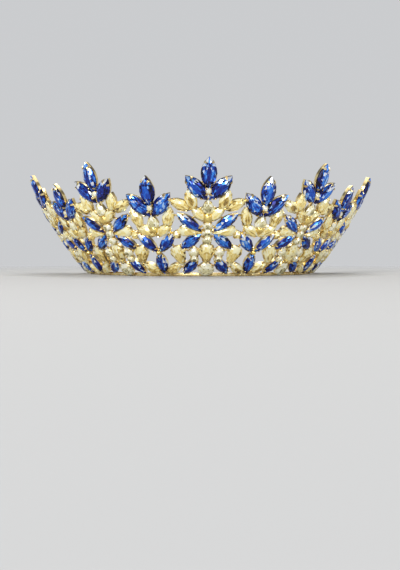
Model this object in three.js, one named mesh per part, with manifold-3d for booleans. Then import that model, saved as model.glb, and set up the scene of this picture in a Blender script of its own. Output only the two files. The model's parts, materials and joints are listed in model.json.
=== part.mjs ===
// A bridal crown: an open-backed tiara of gilt metal set with blue, champagne and clear glass stones.
// Five tall and six short openwork motifs stand side by side on a narrow band that goes half way
// round the head. Each motif ends in a trefoil of three blue marquise stones.
// The wall leans outwards. Its profile is an arc, so it stands steeper at the top than at the foot.
// Millimetres, +Z up. The crown stands on its band, with its front towards -Y and the wearer's left
// towards +X. The origin is on the floor, in the middle of the crown's width and depth.

import * as THREE from "three";
import { mergeVertices } from "three/addons/utils/BufferGeometryUtils.js";
import Module from "manifold-3d";

const wasm = await Module();
wasm.setup();

// ---- driving dimensions ----

const degrees = Math.PI / 180;

// The wall's middle surface: its foot, its lean from upright there, and the radius of its profile arc.
const wall = { footRadius: 72, footHeight: 0.8, footLean: 41 * degrees, arcRadius: 205 };

const motifPitch = 17.6 * degrees; // from the middle of one motif to the middle of the next
const motifsEachSide = 5; // besides the front one

// Depths through the wall are measured from its middle surface, positive outwards.
// A small stone is one solid with its setting, whose back is wider than the stone by its rim.
const fused = { back: -1.5, table: 2.3, tableScale: 0.5, rim: 0.4, sides: 6 };

// A larger stone is a piece of its own, which stands on a pad with a gap between them.
const pad = { back: -1.5, front: -0.4, rim: 0.5 };
const loose = { back: -0.1, girdle: 1.1, table: 2.8, backScale: 0.75, tableScale: 0.5, sides: 8 };

const wire = { wide: 1.4, back: -1.5, front: -0.4 };
const band = { inner: 70.4, outer: 72, height: 2, reach: 96.8 * degrees, steps: 18 };
const endEye = { across: 13, up: 2, outer: 2.9, hole: 1.5, back: -1.8, front: -0.5, sides: 8 };

// ---- the settings of one motif ----
// x and h are the middle of a setting, across and up the wall, and long and wide are its size.
// lean turns its long axis from upright, away from the motif's middle line, in degrees.
// A pear's round end is the one that its long axis points to.
// A row with pair has a mirrored twin. A row with loose holds a stone that is a piece of its own.

const tallSettings = [
  { name: "tip", cut: "marquise", x: 0, h: 60.8, long: 15.4, wide: 7.3, lean: 0, loose: "blue" },
  {
    name: "wing", cut: "marquise", x: 6.1, h: 52.8, long: 15.4, wide: 6.7, lean: 41,
    pair: true, loose: "blue",
  },
  { name: "heart", cut: "round", x: 0, h: 51.4, long: 3.2, wide: 3.2, lean: 0 },
  { name: "flank", cut: "marquise", x: 8.6, h: 46.4, long: 10.6, wide: 5.4, lean: 19, pair: true },
  { name: "arm", cut: "marquise", x: 13.8, h: 43.7, long: 10.6, wide: 4.8, lean: 62, pair: true },
  { name: "drop", cut: "pear", x: 0, h: 43, long: 8, wide: 6, lean: 180 },
  { name: "vee", cut: "marquise", x: 4.2, h: 38.8, long: 9.8, wide: 4.6, lean: 43, pair: true },
  { name: "upper_bead", cut: "round", x: 0, h: 32.4, long: 5, wide: 5, lean: 0 },
  { name: "middle_bead", cut: "round", x: 0, h: 28.2, long: 5, wide: 5, lean: 0 },
  { name: "lower_bead", cut: "round", x: 0, h: 24, long: 5, wide: 5, lean: 0 },
  { name: "upper_ray", cut: "marquise", x: 9, h: 33.9, long: 15.6, wide: 5.2, lean: 49, pair: true },
  { name: "side_drop", cut: "pear", x: 8.7, h: 28.9, long: 12.2, wide: 5.4, lean: 81, pair: true },
  { name: "dot", cut: "round", x: 15.7, h: 27, long: 4.2, wide: 4.2, lean: 0, pair: true },
  { name: "lower_ray", cut: "marquise", x: 8.3, h: 22.7, long: 14.2, wide: 5.2, lean: 129, pair: true },
  { name: "pendant", cut: "pear", x: 0, h: 14.9, long: 12.4, wide: 8, lean: 0, loose: "champagne" },
  { name: "side_bead", cut: "round", x: 6.6, h: 16.2, long: 5, wide: 5, lean: 0, pair: true },
  { name: "small_bead", cut: "round", x: 6.4, h: 12.2, long: 4.2, wide: 4.2, lean: 0, pair: true },
  { name: "side_pear", cut: "pear", x: 14, h: 13.4, long: 12.4, wide: 7.4, lean: 15, pair: true },
  { name: "foot_ray", cut: "marquise", x: 8.3, h: 6.6, long: 12.4, wide: 5.2, lean: 144, pair: true },
  { name: "foot_round", cut: "round", x: 0, h: 4.2, long: 8.4, wide: 8.4, lean: 0 },
];

const shortSettings = [
  { name: "tip", cut: "marquise", x: 0, h: 51.9, long: 15.4, wide: 7.3, lean: 0, loose: "blue" },
  {
    name: "wing", cut: "marquise", x: 6.1, h: 44, long: 15.4, wide: 6.7, lean: 41,
    pair: true, loose: "blue",
  },
  { name: "heart", cut: "round", x: 0, h: 42.6, long: 3.2, wide: 3.2, lean: 0 },
  { name: "arch", cut: "marquise", x: 8.6, h: 37, long: 11.4, wide: 5.3, lean: 16, pair: true },
  { name: "drop", cut: "pear", x: 0, h: 34.6, long: 7.8, wide: 6, lean: 180 },
  { name: "cradle", cut: "marquise", x: 4.4, h: 29.4, long: 10.8, wide: 5, lean: 59, pair: true },
  { name: "ray", cut: "marquise", x: 4.9, h: 21.9, long: 14.4, wide: 5.2, lean: 38, pair: true },
  { name: "stem", cut: "marquise", x: 0, h: 8.6, long: 14.4, wide: 6, lean: 0 },
  { name: "foot", cut: "marquise", x: 5.8, h: 4.4, long: 11, wide: 4.9, lean: 49, pair: true },
];

// The wires that join settings, each from one point of the wall to another.
const tallWires = [{ fromX: 13.9, fromH: 37.6, toX: 19.6, toH: 37.8, pair: true }];

const shortWires = [
  { fromX: 0, fromH: -0.6, toX: 0, toH: 3.4 },
  { fromX: 0, fromH: 28, toX: 0, toH: 32.4 },
  { fromX: 8.7, fromH: 26.3, toX: 7.3, toH: 30.4, pair: true },
];

// ---- the wall ----

function leanAt(h) {
  return wall.footLean - h / wall.arcRadius;
}

function radiusAt(h) {
  return wall.footRadius + wall.arcRadius * (Math.cos(leanAt(h)) - Math.cos(wall.footLean));
}

function heightAt(h) {
  return wall.footHeight + wall.arcRadius * (Math.sin(wall.footLean) - Math.sin(leanAt(h)));
}

// The point that is x across, h up and t outwards, in a motif that faces -Y.
function onWall(x, h, t = 0) {
  const angle = x / radiusAt(h);
  const radius = radiusAt(h) + t * Math.cos(leanAt(h));
  return new THREE.Vector3(
    radius * Math.sin(angle),
    -radius * Math.cos(angle),
    heightAt(h) - t * Math.sin(leanAt(h)),
  );
}

// How a flat piece turns when it stands on the wall. Made flat, it has x across, y up and z outwards.
function turnToWall(x, h) {
  return new THREE.Euler(Math.PI / 2 + leanAt(h), 0, x / radiusAt(h), "ZYX");
}

// The metal is joined while the wall lies flat, as a strip whose every height is as long as its foot,
// and then rolled up.
function moveVertices(geometry, move) {
  const position = geometry.getAttribute("position");
  for (let i = 0; i < position.count; i++) {
    const p = move(position.getX(i), position.getY(i), position.getZ(i));
    position.setXYZ(i, p.x, p.y, p.z);
  }
  return geometry;
}

function layFlat(geometry) {
  return moveVertices(geometry, (x, h, t) => new THREE.Vector3((x * wall.footRadius) / radiusAt(h), h, t));
}

function rollUp(geometry) {
  return moveVertices(geometry, (x, h, t) => onWall((x * radiusAt(h)) / wall.footRadius, h, t));
}

// ---- outlines ----

const outlines = {
  marquise(long, wide, sides) {
    return new THREE.Shape()
      .moveTo(0, -long / 2)
      .quadraticCurveTo(1.1 * wide, 0, 0, long / 2)
      .quadraticCurveTo(-1.1 * wide, 0, 0, -long / 2)
      .getPoints(sides / 2);
  },
  pear(long, wide, sides) {
    const middle = long / 2 - wide / 2;
    return new THREE.Shape()
      .moveTo(0, -long / 2)
      .lineTo(wide / 2, middle)
      .absarc(0, middle, wide / 2, 0, Math.PI, false)
      .lineTo(0, -long / 2)
      .getPoints((sides - 2) / 2);
  },
  round(long, wide, sides) {
    return new THREE.Shape()
      .absarc(0, 0, wide / 2, -Math.PI / 2, 1.5 * Math.PI, false)
      .getPoints(sides / 2);
  },
};

// An outline's points, without the closing one and any that it repeats.
function outlineOf(setting, sides) {
  const points = outlines[setting.cut](setting.long, setting.wide, sides);
  return points.filter((p, i) => p.distanceTo(points[(i + 1) % points.length]) > 1e-6);
}

// ---- solids ----

// A closed geometry through rings of the same number of points.
function loft(rings) {
  const count = rings[0].length;
  const positions = rings.flat().flatMap((p) => [p.x, p.y, p.z]);
  const faces = [];
  for (let k = 0; k + 1 < rings.length; k++) {
    for (let i = 0; i < count; i++) {
      const a = k * count + i;
      const b = k * count + ((i + 1) % count);
      faces.push(a, b, b + count, a, b + count, a + count);
    }
  }
  const last = (rings.length - 1) * count;
  for (let i = 1; i + 1 < count; i++) {
    faces.push(0, i + 1, i, last, last + i, last + i + 1);
  }
  return new THREE.BufferGeometry()
    .setAttribute("position", new THREE.Float32BufferAttribute(positions, 3))
    .setIndex(faces);
}

// One outline at several depths. At each it is scaled, and then moved out by grow.
function layered(outline, layers) {
  return loft(layers.map(({ at, scale, grow = 0 }) => outline.map((p) => {
    const size = scale + grow / p.length();
    return new THREE.Vector3(p.x * size, p.y * size, at);
  })));
}

function solid(geometry) {
  const bare = new THREE.BufferGeometry().setAttribute("position", geometry.getAttribute("position"));
  const merged = mergeVertices(bare.setIndex(geometry.index), 1e-4);
  return new wasm.Manifold(new wasm.Mesh({
    numProp: 3,
    vertProperties: merged.getAttribute("position").array,
    triVerts: new Uint32Array(merged.index.array),
  }));
}

function geometryOf(manifold) {
  const mesh = manifold.getMesh();
  return new THREE.BufferGeometry()
    .setAttribute("position", new THREE.Float32BufferAttribute(mesh.vertProperties, 3))
    .setIndex(Array.from(mesh.triVerts));
}

function joined(solids) {
  return solids.reduce((all, one) => all.add(one));
}

// ---- the metal of one motif, with the small stones that are fused to it ----

function sidesOf(row) {
  return row.pair ? [1, -1] : [1];
}

function fusedStone(setting) {
  return layered(outlineOf(setting, fused.sides), [
    { at: fused.back, scale: 1, grow: fused.rim },
    { at: fused.table, scale: fused.tableScale },
  ]);
}

function stonePad(setting) {
  return layered(outlineOf(setting, fused.sides), [
    { at: pad.back, scale: 1, grow: pad.rim },
    { at: pad.front, scale: 1, grow: pad.rim },
  ]);
}

function looseStone(setting) {
  return layered(outlineOf(setting, loose.sides), [
    { at: loose.back, scale: loose.backScale },
    { at: loose.girdle, scale: 1 },
    { at: loose.table, scale: loose.tableScale },
  ]);
}

function wireBar({ fromX, fromH, toX, toH }, side) {
  const from = new THREE.Vector2(side * fromX, fromH);
  const along = new THREE.Vector2(side * toX, toH).sub(from);
  return new THREE.BoxGeometry(along.length(), wire.wide, wire.front - wire.back)
    .rotateZ(along.angle())
    .translate(from.x + along.x / 2, from.y + along.y / 2, (wire.back + wire.front) / 2);
}

// All the metal of one motif, lying flat.
function motifMetal(settings, wires) {
  const pieces = [];
  for (const setting of settings) {
    for (const side of sidesOf(setting)) {
      const geometry = setting.loose ? stonePad(setting) : fusedStone(setting);
      geometry.rotateZ(-side * setting.lean * degrees).translate(side * setting.x, setting.h, 0);
      pieces.push(solid(layFlat(geometry)));
    }
  }
  for (const row of wires) {
    for (const side of sidesOf(row)) pieces.push(solid(layFlat(wireBar(row, side))));
  }
  return geometryOf(joined(pieces));
}

// ---- the band and its end loops ----

function baseBand() {
  const corners = [
    { radius: band.inner, z: 0 },
    { radius: band.inner, z: band.height },
    { radius: band.outer, z: band.height },
    { radius: band.outer, z: 0 },
  ];
  const sections = [];
  for (let k = 0; k <= band.steps; k++) {
    const angle = band.reach * ((2 * k) / band.steps - 1);
    sections.push(corners.map(({ radius, z }) => (
      new THREE.Vector3(radius * Math.sin(angle), -radius * Math.cos(angle), z))));
  }
  return loft(sections);
}

// A flat eye at the end of the band, for a ribbon or a hair pin.
function ribbonEye(side) {
  const ring = new THREE.Shape().absarc(0, 0, endEye.outer, 0, 2 * Math.PI, false);
  ring.holes.push(new THREE.Path().absarc(0, 0, endEye.hole, 0, 2 * Math.PI, true));
  const flat = new THREE.ExtrudeGeometry(ring, {
    depth: endEye.front - endEye.back,
    bevelEnabled: false,
    curveSegments: endEye.sides / 2,
  }).translate(0, 0, endEye.back);
  const bare = new THREE.BufferGeometry().setAttribute("position", flat.getAttribute("position"));
  const place = new THREE.Matrix4()
    .makeRotationFromEuler(turnToWall(side * endEye.across, endEye.up))
    .setPosition(onWall(side * endEye.across, endEye.up));
  return mergeVertices(bare, 1e-4).applyMatrix4(place).rotateZ(side * motifsEachSide * motifPitch);
}

// ---- materials ----

const materials = {
  gilt: new THREE.MeshStandardMaterial({ color: 0xd9b45a, roughness: 0.25, metalness: 1 }),
  blue: new THREE.MeshStandardMaterial({ color: 0x1838c8, roughness: 0.05, metalness: 0.3 }),
  champagne: new THREE.MeshStandardMaterial({ color: 0xf0dc9c, roughness: 0.05, metalness: 0.3 }),
};

// ---- the crown ----

const crown = new THREE.Group();
crown.name = "crown";

// Each motif's place: 0 is the front one, and those to the wearer's left are positive.
const places = [];
for (let place = -motifsEachSide; place <= motifsEachSide; place++) places.push(place);

function isTall(place) {
  return place % 2 === 0;
}

function giltFrame() {
  const tall = motifMetal(tallSettings, tallWires);
  const short = motifMetal(shortSettings, shortWires);
  const strip = joined(places.map((place) => {
    const motif = (isTall(place) ? tall : short).clone();
    return solid(motif.translate(place * motifPitch * wall.footRadius, 0, 0));
  }));
  const pieces = [rollUp(geometryOf(strip)), baseBand(), ribbonEye(1), ribbonEye(-1)].map(solid);
  const mesh = new THREE.Mesh(geometryOf(joined(pieces)), materials.gilt);
  mesh.name = "gilt_frame";
  return mesh;
}

function placeName(place) {
  if (place === 0) return "front";
  return (place > 0 ? "left" : "right") + Math.abs(place);
}

function looseStones(place) {
  const group = new THREE.Group();
  group.rotation.z = place * motifPitch;
  const settings = isTall(place) ? tallSettings : shortSettings;
  for (const setting of settings.filter((row) => row.loose)) {
    for (const side of sidesOf(setting)) {
      const geometry = looseStone(setting).rotateZ(-side * setting.lean * degrees);
      const mesh = new THREE.Mesh(geometry, materials[setting.loose]);
      mesh.position.copy(onWall(side * setting.x, setting.h));
      mesh.rotation.copy(turnToWall(side * setting.x, setting.h));
      const hand = side > 0 ? "_l" : "_r";
      mesh.name = `${setting.name}_stone_${placeName(place)}${setting.pair ? hand : ""}`;
      group.add(mesh);
    }
  }
  return group;
}

crown.add(giltFrame());
for (const place of places) crown.add(looseStones(place));

// Puts the origin in the middle of the crown's depth.
const box = new THREE.Box3().setFromObject(crown, true);
crown.position.y = -(box.min.y + box.max.y) / 2;

export default crown;
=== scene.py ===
import json
import math
import random

import bmesh
import bpy
from mathutils import Matrix, Vector


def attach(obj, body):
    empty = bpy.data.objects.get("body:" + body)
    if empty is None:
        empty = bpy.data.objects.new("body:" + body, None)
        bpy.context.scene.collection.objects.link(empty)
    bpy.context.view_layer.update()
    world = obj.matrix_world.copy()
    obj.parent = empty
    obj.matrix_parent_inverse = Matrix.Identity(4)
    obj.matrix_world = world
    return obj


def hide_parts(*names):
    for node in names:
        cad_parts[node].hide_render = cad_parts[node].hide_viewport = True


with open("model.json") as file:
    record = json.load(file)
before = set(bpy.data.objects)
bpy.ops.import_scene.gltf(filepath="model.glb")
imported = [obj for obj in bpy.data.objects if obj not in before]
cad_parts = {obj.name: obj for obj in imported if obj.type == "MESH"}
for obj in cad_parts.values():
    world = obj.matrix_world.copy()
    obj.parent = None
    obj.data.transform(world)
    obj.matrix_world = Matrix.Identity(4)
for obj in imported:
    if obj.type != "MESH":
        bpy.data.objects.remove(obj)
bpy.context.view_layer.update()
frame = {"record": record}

# A bridal crown: claw-set stones soldered side by side into openwork motifs on a narrow gilt band.
# Lengths are in millimetres here, and a piece is scaled to metres when it is finished.
# On the wall, x runs across, up runs up the slope and out is the depth, positive outwards.

millimetre = 0.001

# The wall leans out by footLean at its foot, and grows steeper along an arc.
wall = {"footRadius": 72, "footHeight": 0.8, "footLean": math.radians(41), "arcRadius": 205}
motifs = {"pitch": math.radians(17.6), "eachSide": 5}
band = {"inner": 70.4, "outer": 72, "height": 2, "reach": math.radians(96.8), "steps": 72,
        "round": 0.35, "roundSteps": 3}

# The base mount lies under the middle of the band's front, and the ring's centre is behind it.
restMount = next(m for m in frame["record"]["mounts"] if m["name"] == "base_rest")
ringCentre = Vector((0, restMount["pos_m"][1] / millimetre + (band["inner"] + band["outer"]) / 2, 0))

places = range(-motifs["eachSide"], motifs["eachSide"] + 1)


def placeName(place):
    if place == 0:
        return "front"
    return ("left" if place > 0 else "right") + str(abs(place))


def leanAt(up):
    return wall["footLean"] - up / wall["arcRadius"]


def radiusAt(up):
    return wall["footRadius"] + wall["arcRadius"] * (math.cos(leanAt(up)) - math.cos(wall["footLean"]))


def heightAt(up):
    return wall["footHeight"] + wall["arcRadius"] * (math.sin(wall["footLean"]) - math.sin(leanAt(up)))


# Stands a flat piece on the wall. Made flat, it has x across, y up and z outwards.
def onWall(x, up, turn=0):
    around = Matrix.Rotation(x / radiusAt(up), 4, "Z")
    foot = around @ Vector((0, -radiusAt(up), heightAt(up)))
    tilt = Matrix.Rotation(math.pi / 2 + leanAt(up), 4, "X")
    return Matrix.Translation(foot) @ around @ tilt @ Matrix.Rotation(turn, 4, "Z")


# Lean turns a stone's long axis away from the motif's middle line, in degrees, and a pear's round end is
# where that axis points. A pair has a twin on the other side. A big one is a piece of its own. Tone makes
# a stone paler than the others of its colour, or darker below 0.
def stone(name, cut, colour, x, up, long, wide, lean=0, pair=False, big=False, tone=0):
    return {"name": name, "cut": cut, "colour": colour, "x": x, "up": up, "long": long, "wide": wide,
            "lean": lean, "pair": pair, "big": big, "tone": tone}


tallMotif = [
    stone("tip", "marquise", "blue", 0, 60.4, 16, 7.8, big=True),
    stone("wing", "marquise", "blue", 6, 52.9, 16.2, 7.4, lean=41, pair=True, big=True),
    stone("heart", "round", "clear", 0, 51.5, 3.6, 3.6, tone=0.3),
    stone("flank", "marquise", "champagne", 8.6, 46.4, 11.4, 6.2, lean=19, pair=True),
    stone("arm", "marquise", "champagne", 13.9, 44, 11.6, 5.8, lean=62, pair=True),
    stone("drop", "pear", "clear", 0, 42.8, 8.2, 6.4, lean=180),
    stone("vee", "marquise", "champagne", 4.4, 38.8, 10.6, 5.4, lean=43, pair=True),
    stone("upper_bead", "round", "clear", 0, 32.4, 5, 5),
    stone("middle_bead", "round", "clear", 0, 28.2, 5, 5),
    stone("lower_bead", "round", "clear", 0, 24, 5, 5),
    stone("upper_ray", "marquise", "blue", 9.3, 34.1, 15.6, 6, lean=50, pair=True),
    stone("side_drop", "pear", "champagne", 8.8, 28.9, 12, 6, lean=81, pair=True, tone=0.05),
    stone("dot", "round", "champagne", 15.7, 27, 4.2, 4.2, pair=True),
    stone("lower_ray", "marquise", "blue", 8.5, 22.8, 14.2, 6, lean=129, pair=True),
    stone("pendant", "pear", "champagne", 0, 14.9, 12.8, 8.6, big=True, tone=-0.03),
    stone("side_bead", "round", "clear", 6.7, 16.2, 5.4, 5.4, pair=True),
    stone("small_bead", "round", "clear", 6.3, 11.9, 4.4, 4.4, pair=True),
    stone("side_pear", "pear", "champagne", 14, 13.4, 13, 8, lean=15, pair=True, tone=-0.05),
    stone("foot_ray", "marquise", "blue", 8.2, 6.7, 13, 6, lean=144, pair=True),
    stone("foot_round", "round", "clear", 0, 4.4, 8.8, 8.8, tone=-0.06),
]

shortMotif = [
    stone("tip", "marquise", "blue", 0, 51.5, 16, 7.8, big=True),
    stone("wing", "marquise", "blue", 6, 44.1, 16.2, 7.4, lean=41, pair=True, big=True),
    stone("heart", "round", "clear", 0, 42.7, 3.6, 3.6, tone=0.3),
    stone("arch", "marquise", "champagne", 8.6, 36.8, 12, 6.1, lean=16, pair=True),
    stone("drop", "pear", "clear", 0, 34.6, 8.2, 6.4, lean=180),
    stone("cradle", "marquise", "champagne", 4.6, 29.4, 11.4, 5.6, lean=59, pair=True),
    stone("ray", "marquise", "blue", 5.3, 22.1, 14.4, 6, lean=38, pair=True),
    stone("stem", "marquise", "blue", 0, 8.5, 14.4, 6.6),
    stone("foot", "marquise", "champagne", 6, 4.8, 11.4, 5.7, lean=49, pair=True),
]

# Gold domes that cover the places where several settings meet.
tallBosses = [{"x": 0, "up": 36.9, "across": 6.2}]
shortBosses = [{"x": 0, "up": 30.5, "across": 4.8}, {"x": 0, "up": 16.6, "across": 3.2}]

# Wires from one point of the wall to another.
tallWires = [{"start": (13.9, 37.6), "end": (18.3, 37.8), "pair": True}]
shortWires = [
    {"start": (0, -0.4), "end": (0, 3.4), "pair": False},
    {"start": (8.7, 26.3), "end": (7.3, 30.4), "pair": True},
]


def isTall(place):
    return place % 2 == 0


def stonesOf(place):
    return tallMotif if isTall(place) else shortMotif


def sidesOf(row):
    return (1, -1) if row["pair"] else (1,)


def bigStonesOf(place):
    return [(row, side) for row in stonesOf(place) if row["big"] for side in sidesOf(row)]


def seatOf(row, side):
    return onWall(side * row["x"], row["up"], -side * math.radians(row["lean"]))


# How fast an outline narrows towards its points. A pear has one point and a marquise two.
points = {"marquise": 2, "pear": 1.5}


# Moves a point of the unit circle onto a stone's outline.
def outlinePoint(row, x, y, scale=1, grow=0):
    long, wide = row["long"] / 2 * scale + grow, row["wide"] / 2 * scale + grow
    if row["cut"] == "round":
        return Vector((x * wide, y * long, 0))
    middle = 0 if row["cut"] == "marquise" else long - wide
    narrow = 1 - abs(y) ** points[row["cut"]]
    if row["cut"] == "pear" and y > 0:
        return Vector((x * wide, middle + y * wide, 0))
    return Vector((math.copysign(narrow, x) * wide, middle + y * (long + middle), 0))


def edgesAmong(bm, verts):
    inside = set(verts)
    return [e for e in bm.edges if e.verts[0] in inside and e.verts[1] in inside]


def addRing(bm, row, sides, level, scale=1, grow=0, halfTurn=False):
    circle = bmesh.ops.create_circle(bm, segments=sides, radius=1)["verts"]
    if halfTurn:
        bmesh.ops.rotate(bm, verts=circle, matrix=Matrix.Rotation(math.pi / sides, 3, "Z"))
    for v in circle:
        v.co = outlinePoint(row, v.co.x, v.co.y, scale, grow) + Vector((0, 0, level))
    return edgesAmong(bm, circle)


# A closed shape through rings, and the faces of each tier between them. No two rings that follow each
# other share a level, because the bridge between them would twist.
def stack(bm, row, sides, rings):
    loops = [addRing(bm, row, sides, **ring) for ring in rings]
    tiers = []
    for low, high in zip(loops, loops[1:]):
        faces = bmesh.ops.bridge_loops(bm, edges=low + high)["faces"]
        tiers.append(bmesh.ops.triangulate(bm, faces=faces, quad_method="SHORT_EDGE")["faces"])
    bmesh.ops.contextual_create(bm, geom=loops[0])
    top = bmesh.ops.contextual_create(bm, geom=loops[-1])["faces"]
    return tiers, top


def newMaterial(name):
    made = bpy.data.materials.new(name)
    made.use_nodes = True
    return made, made.node_tree, made.node_tree.nodes["Principled BSDF"]


def addNode(tree, kind, links=(), **settings):
    node = tree.nodes.new(kind)
    for key, value in settings.items():
        if key in node.inputs:
            node.inputs[key].default_value = value
        else:
            setattr(node, key, value)
    for output, key in links:
        tree.links.new(output, node.inputs[key])
    return node


def addRamp(tree, factor, stops):
    ramp = addNode(tree, "ShaderNodeValToRGB", [(factor, "Fac")])
    colours = ramp.color_ramp.elements
    while len(colours) < len(stops):
        colours.new(0.5)
    for element, (at, colour) in zip(colours, stops):
        element.position = at
        element.color = (*colour, 1)
    return ramp.outputs["Color"]


# Soft patches make the metal darker and more worn in places, and a fine grain stirs its gloss.
gilt = {
    "dark": (0.58, 0.38, 0.13), "darkAt": 0.3, "bright": (1.0, 0.855, 0.46), "brightAt": 0.62,
    "worn": 0.34, "wornAt": 0.3, "smooth": 0.16, "smoothAt": 0.7,
    "patch": 450, "patchDetail": 4.0, "grain": 2600, "grainDetail": 2.0, "relief": 0.1, "depth": 0.0002,
}
deepGilt = {**gilt, "dark": (0.66, 0.44, 0.12), "bright": (1.0, 0.79, 0.28)}


def giltMaterial(name, look):
    material, tree, shader = newMaterial(name)
    place = addNode(tree, "ShaderNodeTexCoord").outputs["Object"]
    cloud = addNode(tree, "ShaderNodeTexNoise", [(place, "Vector")],
                    Scale=look["patch"], Detail=look["patchDetail"])
    stops = [(look["darkAt"], look["dark"]), (look["brightAt"], look["bright"])]
    colour = addRamp(tree, cloud.outputs["Fac"], stops)
    tree.links.new(colour, shader.inputs["Base Color"])
    rough = addNode(tree, "ShaderNodeMapRange", [(cloud.outputs["Fac"], "Value")])
    rough.inputs["From Min"].default_value = look["wornAt"]
    rough.inputs["From Max"].default_value = look["smoothAt"]
    rough.inputs["To Min"].default_value = look["worn"]
    rough.inputs["To Max"].default_value = look["smooth"]
    tree.links.new(rough.outputs["Result"], shader.inputs["Roughness"])
    grain = addNode(tree, "ShaderNodeTexNoise", [(place, "Vector")],
                    Scale=look["grain"], Detail=look["grainDetail"])
    bump = addNode(tree, "ShaderNodeBump", [(grain.outputs["Fac"], "Height")],
                   Strength=look["relief"], Distance=look["depth"])
    tree.links.new(bump.outputs["Normal"], shader.inputs["Normal"])
    shader.inputs["Metallic"].default_value = 1
    return material


# Each facet has a tone of its own, and painted reflections of the stone's back facets show as long slivers
# that mirror each other across its middle. Play is how far a sliver's tone goes from its facet's. Rim
# makes the sloping facets paler and the flat one darker. The last number before the stops is painted light
# from above, which makes the stone's upper end paler than its middle. The stops run from the darkest tone
# to the palest, and the painted glints take the palest.
stoneColours = {
    "blue": {"metal": 0.6, "coat": 0.2, "play": 0.45, "rim": 0, "paintedTopLight": 0.06, "stops": [
        (0.0, (0.003, 0.003, 0.018)), (0.28, (0.006, 0.005, 0.06)), (0.5, (0.011, 0.019, 0.235)),
        (0.7, (0.014, 0.103, 0.62)), (0.85, (0.05, 0.30, 0.98)), (0.94, (0.38, 0.62, 1.0)),
        (1.0, (0.90, 0.93, 0.95))]},
    "champagne": {"metal": 0.3, "coat": 0.5, "play": 0.74, "rim": 0.18, "paintedTopLight": 0.18, "stops": [
        (0.0, (0.08, 0.044, 0.010)), (0.24, (0.46, 0.30, 0.065)), (0.42, (0.86, 0.64, 0.185)),
        (0.66, (1.0, 0.86, 0.375)), (1.0, (1.0, 0.965, 0.64))]},
    "clear": {"metal": 0.25, "coat": 0.5, "play": 0.6, "rim": 0.24, "paintedTopLight": 0.18, "stops": [
        (0.0, (0.07, 0.055, 0.022)), (0.24, (0.33, 0.285, 0.125)), (0.42, (0.67, 0.605, 0.32)),
        (0.66, (0.93, 0.885, 0.56)), (1.0, (1.0, 0.99, 0.84))]},
}
# A sliver's width and length. On a round stone it is that many times shorter. Apart keeps neighbours from
# having the same slivers.
sparkle = {"across": 1.1, "along": 3.6, "round": 2.6, "apart": 10, "rough": 0.06, "coatRough": 0.03}


def stoneMaterial(colour):
    look = stoneColours[colour]
    material, tree, shader = newMaterial(colour + "_stone")
    grain = addNode(tree, "ShaderNodeAttribute", attribute_name="grain").outputs["Vector"]
    folded = addNode(tree, "ShaderNodeVectorMath", [(grain, 0)], operation="ABSOLUTE")
    sized = addNode(tree, "ShaderNodeVectorMath", [(folded.outputs["Vector"], 0)], operation="DIVIDE")
    sized.inputs[1].default_value = (sparkle["across"], sparkle["along"], 1)
    cells = addNode(tree, "ShaderNodeTexVoronoi", [(sized.outputs["Vector"], "Vector")], Scale=1.0)
    shade = addNode(tree, "ShaderNodeSeparateColor", [(cells.outputs["Color"], "Color")])
    tone = addNode(tree, "ShaderNodeAttribute", attribute_name="tone")
    around = addNode(tree, "ShaderNodeMath", [(shade.outputs["Red"], 0)], operation="SUBTRACT")
    around.inputs[1].default_value = 0.5  # so that slivers are as often darker as paler
    mixed = addNode(tree, "ShaderNodeMath", [(around.outputs[0], 0), (tone.outputs["Fac"], 2)],
                    operation="MULTIPLY_ADD")
    mixed.inputs[1].default_value = look["play"]
    tree.links.new(addRamp(tree, mixed.outputs[0], look["stops"]), shader.inputs["Base Color"])
    shader.inputs["Metallic"].default_value = look["metal"]
    shader.inputs["Roughness"].default_value = sparkle["rough"]
    shader.inputs["Coat Weight"].default_value = look["coat"]
    shader.inputs["Coat Roughness"].default_value = sparkle["coatRough"]
    return material


materials = {colour: stoneMaterial(colour) for colour in stoneColours}
materials["gilt"] = giltMaterial("gilt", gilt)
materials["deepGilt"] = giltMaterial("deep_gilt", deepGilt)
print("materials ready")


smoothUnder = math.radians(38)


def newMesh(bm, name):
    mesh = bpy.data.meshes.new(name)
    bmesh.ops.recalc_face_normals(bm, faces=bm.faces)
    bm.to_mesh(mesh)
    bm.free()
    return mesh


# Adds a finished mesh to a bmesh, in its place.
def addMesh(bm, mesh, place):
    oldVerts = len(bm.verts)
    bm.from_mesh(mesh)
    bm.verts.ensure_lookup_table()
    bmesh.ops.transform(bm, matrix=place, verts=bm.verts[oldVerts:])


# Turns a motif's mesh to its place round the ring, in metres, and makes it a piece.
def addPiece(name, mesh, place, replaced):
    mesh = mesh.copy()
    mesh.name = name
    turn = Matrix.Rotation(place * motifs["pitch"], 4, "Z")
    mesh.transform(Matrix.Scale(millimetre, 4) @ Matrix.Translation(ringCentre) @ turn)
    piece = bpy.data.objects.new(name, mesh)
    bpy.context.scene.collection.objects.link(piece)
    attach(piece, "root")
    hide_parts(replaced)
    return piece


def smoothMetal(mesh):
    mesh.polygons.foreach_set("use_smooth", [True] * len(mesh.polygons))
    mesh.set_sharp_from_angle(angle=smoothUnder)
    mesh.materials.append(materials["gilt"])


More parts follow.
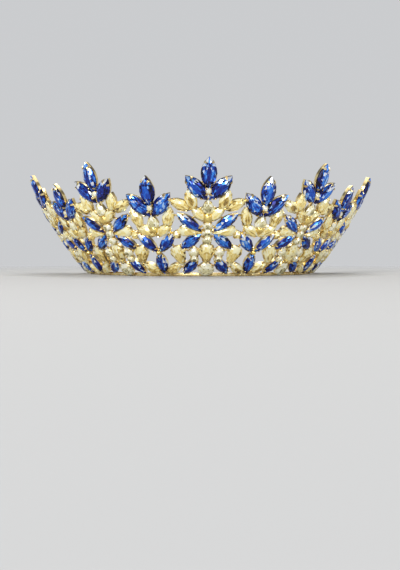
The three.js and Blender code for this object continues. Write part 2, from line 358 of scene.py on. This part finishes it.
# Levels are out from the wall's middle surface. Tones are the middle tone and the spread of each tier,
# from the back forwards, and the last pair is the flat facet's.
smallCut = {
    "sides": 12,
    "rings": [
        {"level": 0.75, "grow": 0.2},
        {"level": 1.5, "scale": 0.82, "halfTurn": True},
        {"level": 2.25, "scale": 0.5},
    ],
    "tones": [(0.44, 0.30), (0.56, 0.34), (0.62, 0.10)],
}
bigCut = {
    "sides": 16,
    "rings": [
        {"level": -0.4, "scale": 0.75},
        {"level": 0.5, "grow": 0.2},
        {"level": 0.95, "grow": 0.2},
        {"level": 1.75, "scale": 0.87, "halfTurn": True},
        {"level": 2.35, "scale": 0.69},
        {"level": 2.8, "scale": 0.46, "halfTurn": True},
    ],
    "tones": [(0.2, 0.1), (0.3, 0.2), (0.44, 0.34), (0.46, 0.34), (0.54, 0.30), (0.66, 0.08)],
}
# White glints, painted highlights where light from above would catch, gather on the facets that face up the
# wall, near a stone's upper end. Share is the chance of one on any facet, and atTop is added to it there.
# Only tiers that spread over spreadOver have any.
glint = {"share": 0.04, "atTop": 2.4, "gather": 1.7, "tone": 0.99, "spreadOver": 0.25}
paintedSideShade = {"across": 0.22, "turn": 2.4}  # painted shade and light: one side of a stone is darker and the other paler, as if lit from that side, and which side varies


def cutStone(row, cut, side):
    bm = bmesh.new()
    spread = bm.faces.layers.float.new("spread")
    tone = bm.faces.layers.float.new("tone")
    chance = bm.faces.layers.float.new("chance")
    grain = bm.verts.layers.float_vector.new("grain")
    tiers, top = stack(bm, row, cut["sides"], cut["rings"])
    fan = bmesh.ops.poke(bm, faces=top)["faces"]
    bmesh.ops.recalc_face_normals(bm, faces=bm.faces)
    # Painted shade and light: facets that face towards bright are paler, and those facing away darker.
    turn = paintedSideShade["turn"] * (row["up"] + row["x"])
    bright = Vector((math.cos(turn), math.sin(turn), 0))
    look = stoneColours[row["colour"]]
    lean = math.radians(row["lean"])
    up = Vector((-side * math.sin(lean), math.cos(lean), 0))
    for faces, (middle, reach) in zip(tiers + [fan], cut["tones"]):
        lift = -look["rim"] if faces is fan else look["rim"]
        for face in faces:
            # painted light from above: the stone's upper end is paler
            along = math.copysign(1, up.y) * face.calc_center_median().y / (row["long"] / 2)
            face[tone] = middle + lift + row["tone"] + look["paintedTopLight"] * along
            face[tone] += paintedSideShade["across"] * face.normal.dot(bright)
            face[spread] = reach
            # the chance of a painted white glint, which grows on up-facing facets near the upper end
            if reach > glint["spreadOver"]:
                nearTop = max(0, along) ** glint["gather"]
                facing = max(0, face.normal.dot(up))
                face[chance] = glint["share"] + glint["atTop"] * nearTop * facing
    shorter = sparkle["round"] if row["cut"] == "round" else 1
    for v in bm.verts:
        v[grain] = (v.co.x, v.co.y * shorter, row["up"] + sparkle["apart"] * row["x"])
    return newMesh(bm, row["name"])


# Gives every facet its own random tone, and some of them a white glint, a painted highlight.
def toneFacets(mesh, seed):
    luck = random.Random(seed)
    tone, spread, chance = (mesh.attributes[name].data for name in ("tone", "spread", "chance"))
    for face in range(len(mesh.polygons)):
        reach = spread[face].value
        tone[face].value += luck.uniform(-reach, reach)
        if luck.random() < chance[face].value:
            tone[face].value = glint["tone"]
    for point in mesh.attributes["grain"].data:
        point.vector[2] += seed
    for name in ("spread", "chance"):
        mesh.attributes.remove(mesh.attributes[name])


# The small stones of one colour in one motif, joined.
def smallStones(rows, colour):
    bm = bmesh.new()
    for name in ("spread", "tone", "chance"):
        bm.faces.layers.float.new(name)
    bm.verts.layers.float_vector.new("grain")
    for row in rows:
        if row["big"] or row["colour"] != colour:
            continue
        for side in sidesOf(row):
            addMesh(bm, cutStone(row, smallCut, side), seatOf(row, side))
    made = bpy.data.meshes.new(colour)
    bm.to_mesh(made)
    bm.free()
    made.materials.append(materials[colour])
    return made


smallCup = {
    "sides": 12,
    "rings": [
        {"level": -1.0, "scale": 0.56},
        {"level": -1.4, "scale": 0.6},
        {"level": -1.5, "grow": -0.2},
        {"level": 0.4, "grow": 0.1},
        {"level": 0.8, "grow": 0.06},
    ],
    "claw": {"level": 0.8, "size": 0.9},
}
bigCup = {
    "sides": 24,
    "rings": [
        {"level": -1.0, "scale": 0.56},
        {"level": -1.4, "scale": 0.6},
        {"level": -1.5, "grow": -0.25},
        {"level": 0, "grow": 0.2},
        {"level": 0.4, "grow": 0.2},
        {"level": 0.35, "grow": 0.02},
        {"level": -0.5, "scale": 0.82},
    ],
    "claw": {"level": 1.05, "size": 1.1},
}

# Triangles that lie flat are joined, whatever their shape. Both angles are in radians.
flatTriangles = {"angle_face_threshold": 0.05, "angle_shape_threshold": 3.2}

# A claw's middle line runs up the stone's side and over its edge. Reach is measured out from the
# girdle's edge and level from the girdle. Glance is the angle over which the edge's direction is read.
claw = {
    "angles": [45, 135, 225, 315],
    "line": [
        {"reach": 0.24, "level": -1.0, "wide": 1.0},
        {"reach": 0.28, "level": -0.05, "wide": 1.0},
        {"reach": 0.10, "level": 0.42, "wide": 0.95},
        {"reach": -0.30, "level": 0.82, "wide": 0.8},
        {"reach": -0.66, "level": 1.16, "wide": 0.45},
    ],
    "thick": 0.32,
    "glance": 0.05,
}


def cutCup(row, cup):
    bm = bmesh.new()
    stack(bm, row, cup["sides"], cup["rings"])
    bmesh.ops.join_triangles(bm, faces=bm.faces, **flatTriangles)
    return newMesh(bm, row["name"])


def bentClaw():
    bm = bmesh.new()
    bmesh.ops.create_cube(bm, size=1)
    along = [e for e in bm.edges if abs(e.verts[0].co.z - e.verts[1].co.z) > 0.5]
    bmesh.ops.subdivide_edges(bm, edges=along, cuts=len(claw["line"]) - 2, use_grid_fill=True)
    stations = [Vector((s["reach"], 0, s["level"])) for s in claw["line"]]
    for v in bm.verts:
        k = round((v.co.z + 0.5) * (len(stations) - 1))
        way = stations[min(k + 1, len(stations) - 1)] - stations[max(k - 1, 0)]
        across = Vector((way.z, 0, -way.x)).normalized()
        aside = Vector((0, v.co.y * claw["line"][k]["wide"], 0))
        v.co = stations[k] + across * v.co.x * claw["thick"] + aside
    return newMesh(bm, "claw")


clawMesh = bentClaw()


# Stands a claw on the outline at an angle of the unit circle.
def clawPlace(row, angle, level, size):
    here = outlinePoint(row, math.cos(angle), math.sin(angle))
    near = outlinePoint(row, math.cos(angle + claw["glance"]), math.sin(angle + claw["glance"]))
    facing = (near - here).to_track_quat("Y", "Z").to_matrix().to_4x4()
    return Matrix.Translation(here + Vector((0, 0, level))) @ facing @ Matrix.Scale(size, 4)


def addSetting(bm, row, side):
    cup = bigCup if row["big"] else smallCup
    seat = seatOf(row, side)
    addMesh(bm, cutCup(row, cup), seat)
    for angle in claw["angles"]:
        addMesh(bm, clawMesh, seat @ clawPlace(row, math.radians(angle), **cup["claw"]))


wire = {"thick": 1.2, "out": -0.95, "sides": 8}


# A round bar from one point of the wall to another, behind the settings' edges.
def addWire(bm, row, side):
    start, end = [onWall(side * x, up) @ Vector((0, 0, wire["out"])) for x, up in (row["start"], row["end"])]
    along = end - start
    turn = along.to_track_quat("Z", "Y").to_matrix().to_4x4()
    bmesh.ops.create_cone(
        bm, cap_ends=True, segments=wire["sides"], radius1=wire["thick"] / 2, radius2=wire["thick"] / 2,
        depth=along.length, matrix=Matrix.Translation((start + end) / 2) @ turn,
    )


dome = {"sides": 12, "rings": 6, "foot": 0.3, "height": 2.7}


def addBoss(bm, row):
    ball = bmesh.ops.create_uvsphere(bm, u_segments=dome["sides"], v_segments=dome["rings"], radius=1)
    made = ball["verts"]
    size = Matrix.Diagonal((row["across"] / 2, row["across"] / 2, dome["height"], 1))
    place = onWall(row["x"], row["up"]) @ Matrix.Translation((0, 0, dome["foot"])) @ size
    bmesh.ops.transform(bm, matrix=place, verts=made)
    for face in {face for v in made for face in v.link_faces}:
        face.material_index = 1  # the deeper gilt


# A blob of solder joins each two settings whose backs are closer than the gap, and is longer than the
# space between them by the extra. Settings that must be further apart than the reach aren't measured.
solder = {"gap": 1.7, "out": -0.9, "grow": 0.1, "thick": 1.3, "extra": 1.2, "shortest": 0.05,
          "samples": 20, "reach": 2}


def backOutline(row, side, place):
    seat = Matrix.Rotation(place * motifs["pitch"], 4, "Z") @ seatOf(row, side)
    found = []
    for k in range(solder["samples"]):
        angle = 2 * math.pi * k / solder["samples"]
        edge = outlinePoint(row, math.sin(angle), math.cos(angle), grow=solder["grow"])
        found.append(seat @ (edge + Vector((0, 0, solder["out"]))))
    return found


def backOutlines(place):
    return [(row, backOutline(row, side, place)) for row in stonesOf(place) for side in sidesOf(row)]


def middleOf(outline):
    return (outline[0] + outline[len(outline) // 2]) / 2


# The places of the solder inside a motif and between it and the next one.
def solderJoints(place):
    mine = backOutlines(place)
    theirs = backOutlines(place + 1) if place + 1 in places else []
    joints = []
    for i, (row, outline) in enumerate(mine):
        for other, otherOutline in mine[i + 1:] + theirs:
            between = (middleOf(outline) - middleOf(otherOutline)).length
            if between > (row["long"] + other["long"]) / 2 + solder["reach"]:
                continue
            pairs = ((start, end) for start in outline for end in otherOutline)
            start, end = min(pairs, key=lambda pair: (pair[0] - pair[1]).length)
            if (start - end).length < solder["gap"]:
                joints.append((start, end))
    return joints


def addSolder(bm, start, end):
    made = bmesh.ops.create_icosphere(bm, subdivisions=1, radius=0.5)["verts"]
    along = end - start
    turn = Matrix()
    if along.length > solder["shortest"]:
        turn = along.to_track_quat("Z", "Y").to_matrix().to_4x4()
    size = Matrix.Diagonal((solder["thick"], solder["thick"], along.length + solder["extra"], 1))
    bmesh.ops.transform(bm, matrix=Matrix.Translation((start + end) / 2) @ turn @ size, verts=made)


def motifMetal(rows, bosses, wires):
    bm = bmesh.new()
    for row in rows:
        for side in sidesOf(row):
            addSetting(bm, row, side)
    for row in bosses:
        addBoss(bm, row)
    for row in wires:
        for side in sidesOf(row):
            addWire(bm, row, side)
    return newMesh(bm, "metal")


# Both are kept by whether the motif is tall.
metal = {
    True: motifMetal(tallMotif, tallBosses, tallWires),
    False: motifMetal(shortMotif, shortBosses, shortWires),
}
small = {
    (tall, colour): smallStones(rows, colour)
    for tall, rows in ((True, tallMotif), (False, shortMotif)) for colour in stoneColours
}
print("motifs modelled")

# Each piece of stones draws its tones from a seed of its own.
seeds = {"eachPlace": 10, "big": 1000}

for place in places:
    bm = bmesh.new()
    addMesh(bm, metal[isTall(place)], Matrix())
    back = Matrix.Rotation(-place * motifs["pitch"], 4, "Z")
    for start, end in solderJoints(place):
        addSolder(bm, back @ start, back @ end)
    mesh = newMesh(bm, "settings")
    smoothMetal(mesh)
    mesh.materials.append(materials["deepGilt"])
    addPiece("settings_" + placeName(place), mesh, place, "gilt_frame")
    for number, colour in enumerate(stoneColours):
        piece = addPiece(f"{colour}_stones_{placeName(place)}", small[isTall(place), colour], place,
                         "gilt_frame")
        toneFacets(piece.data, seeds["eachPlace"] * place + number)
print("settings and small stones placed")

bigSeed = seeds["big"]
for place in places:
    for row, side in bigStonesOf(place):
        mesh = cutStone(row, bigCut, side)
        mesh.transform(seatOf(row, side))
        mesh.materials.append(materials[row["colour"]])
        hand = ("_l" if side > 0 else "_r") if row["pair"] else ""
        spot = placeName(place) + hand
        piece = addPiece(f"{row['name']}_gem_{spot}", mesh, place,
                         f"{row['name']}_stone_{spot}")
        bigSeed += 1
        toneFacets(piece.data, bigSeed)
print("big stones placed")


def bandMesh():
    bm = bmesh.new()
    bmesh.ops.create_grid(bm, x_segments=1, y_segments=1, size=0.5)
    bmesh.ops.scale(bm, vec=(band["outer"] - band["inner"], band["height"], 1), verts=bm.verts)
    bmesh.ops.bevel(bm, geom=bm.verts[:], offset=band["round"], offset_type="OFFSET", affect="VERTICES",
                    segments=band["roundSteps"], profile=0.5, material=-1)
    bmesh.ops.rotate(bm, verts=bm.verts, matrix=Matrix.Rotation(math.pi / 2, 3, "X"))
    middle = ((band["inner"] + band["outer"]) / 2, 0, band["height"] / 2)
    bmesh.ops.translate(bm, verts=bm.verts, vec=middle)
    bmesh.ops.rotate(bm, verts=bm.verts, matrix=Matrix.Rotation(-math.pi / 2 - band["reach"], 3, "Z"))
    section = bm.verts[:] + bm.edges[:] + bm.faces[:]
    bmesh.ops.spin(bm, geom=section, axis=(0, 0, 1), angle=2 * band["reach"], steps=band["steps"],
                   use_merge=False, use_duplicate=False)
    return newMesh(bm, "band")


# Across and up place an eye beside the last motif, and middle is the radius of its ring.
eye = {"across": 13, "up": 2, "middle": 2.2, "wire": 1.4, "out": -1.15, "steps": 28, "sides": 12}


def eyeMesh(side):
    bm = bmesh.new()
    section = bmesh.ops.create_circle(bm, segments=eye["sides"], radius=eye["wire"] / 2)["verts"]
    bmesh.ops.rotate(bm, verts=section, matrix=Matrix.Rotation(math.pi / 2, 3, "X"))
    bmesh.ops.translate(bm, verts=section, vec=(eye["middle"], 0, eye["out"]))
    bmesh.ops.spin(bm, geom=bm.verts[:] + bm.edges[:], axis=(0, 0, 1), angle=2 * math.pi,
                   steps=eye["steps"], use_merge=True, use_duplicate=False)
    bmesh.ops.transform(bm, matrix=onWall(side * eye["across"], eye["up"]), verts=bm.verts)
    return newMesh(bm, "eye")


mesh = bandMesh()
smoothMetal(mesh)
addPiece("base_band", mesh, 0, "gilt_frame")
for side, name in ((1, "eye_left"), (-1, "eye_right")):
    mesh = eyeMesh(side)
    smoothMetal(mesh)
    addPiece(name, mesh, side * motifs["eachSide"], "gilt_frame")
print("band and eyes made")


# From here on lengths are in metres.
ground = {"colour": (0.62, 0.615, 0.60), "rough": 0.9, "shine": 0.15, "size": 6.0,
          "fadeFrom": 0.13, "fadeTo": 0.5}
# The sky's colours by height: the pale backdrop, dark walls above it and a soft light overhead.
sky = [(0.40, (0.595, 0.605, 0.62)), (0.56, (0.12, 0.12, 0.13)), (0.78, (0.16, 0.16, 0.17)),
       (0.9, (1.5, 1.5, 1.5))]
lamps = [
    {"name": "key", "at": (-0.35, -0.75, 0.5), "size": 0.2, "power": 3.5},
    {"name": "front", "at": (-0.1, -0.85, 0.1), "size": 0.4, "power": 1.65},
    {"name": "fill", "at": (0.6, -0.6, 0.25), "size": 0.25, "power": 0.8},
    {"name": "top", "at": (0.1, 0.2, 0.9), "size": 0.3, "power": 1.2},
]
target = Vector((0, 0, 0.03))  # what the lamps point at


# The floor fades into the sky far away, so that no edge of it shows.
def floorMaterial():
    material, tree, shader = newMaterial("floor")
    shader.inputs["Base Color"].default_value = (*ground["colour"], 1)
    shader.inputs["Roughness"].default_value = ground["rough"]
    shader.inputs["Specular IOR Level"].default_value = ground["shine"]
    place = addNode(tree, "ShaderNodeTexCoord").outputs["Object"]
    away = addNode(tree, "ShaderNodeVectorMath", [(place, 0)], operation="LENGTH")
    fade = addNode(tree, "ShaderNodeMapRange", [(away.outputs["Value"], "Value")],
                   interpolation_type="SMOOTHSTEP")
    fade.inputs["From Min"].default_value = ground["fadeFrom"]
    fade.inputs["From Max"].default_value = ground["fadeTo"]
    nothing = addNode(tree, "ShaderNodeBsdfTransparent")
    mixed = addNode(tree, "ShaderNodeMixShader", [
        (fade.outputs["Result"], "Fac"), (shader.outputs["BSDF"], 1), (nothing.outputs["BSDF"], 2)])
    tree.links.new(mixed.outputs["Shader"], tree.nodes["Material Output"].inputs["Surface"])
    return material


def addFloor():
    bm = bmesh.new()
    bmesh.ops.create_grid(bm, x_segments=1, y_segments=1, size=ground["size"] / 2)
    mesh = newMesh(bm, "floor")
    mesh.materials.append(floorMaterial())
    floor = bpy.data.objects.new("floor", mesh)
    bpy.context.scene.collection.objects.link(floor)


def addLamp(name, at, size, power):
    light = bpy.data.lights.new(name, "AREA")
    light.size = size
    light.energy = power
    lamp = bpy.data.objects.new(name, light)
    lamp.location = at
    lamp.rotation_euler = (target - Vector(at)).to_track_quat("-Z", "Y").to_euler()
    bpy.context.scene.collection.objects.link(lamp)


def addSky():
    world = bpy.data.worlds.new("studio")
    world.use_nodes = True
    tree = world.node_tree
    direction = addNode(tree, "ShaderNodeTexCoord").outputs["Generated"]
    height = addNode(tree, "ShaderNodeSeparateXYZ", [(direction, "Vector")]).outputs["Z"]
    tree.links.new(addRamp(tree, height, sky), tree.nodes["Background"].inputs["Color"])
    bpy.context.scene.world = world


# The camera stands as low as the floor lets it, since the crown is seen best from below its foot.
view = {"turn": math.radians(-2.4), "distance": 0.396, "height": 0.01, "aim": -0.008, "lens": 37.5,
        "nearest": 0.01}


def addCamera():
    camera = bpy.data.cameras.new("camera")
    camera.lens = view["lens"]
    camera.clip_start = view["nearest"]
    holder = bpy.data.objects.new("camera", camera)
    away = Matrix.Rotation(view["turn"], 3, "Z") @ Vector((0, -view["distance"], 0))
    holder.location = ringCentre * millimetre + away + Vector((0, 0, view["height"]))
    aim = ringCentre * millimetre + Vector((0, 0, view["aim"]))
    holder.rotation_euler = (aim - holder.location).to_track_quat("-Z", "Y").to_euler()
    bpy.context.scene.collection.objects.link(holder)
    bpy.context.scene.camera = holder


addFloor()
addSky()
for lamp in lamps:
    addLamp(**lamp)
addCamera()
bpy.context.scene.view_settings.view_transform = "Standard"
print("studio ready")
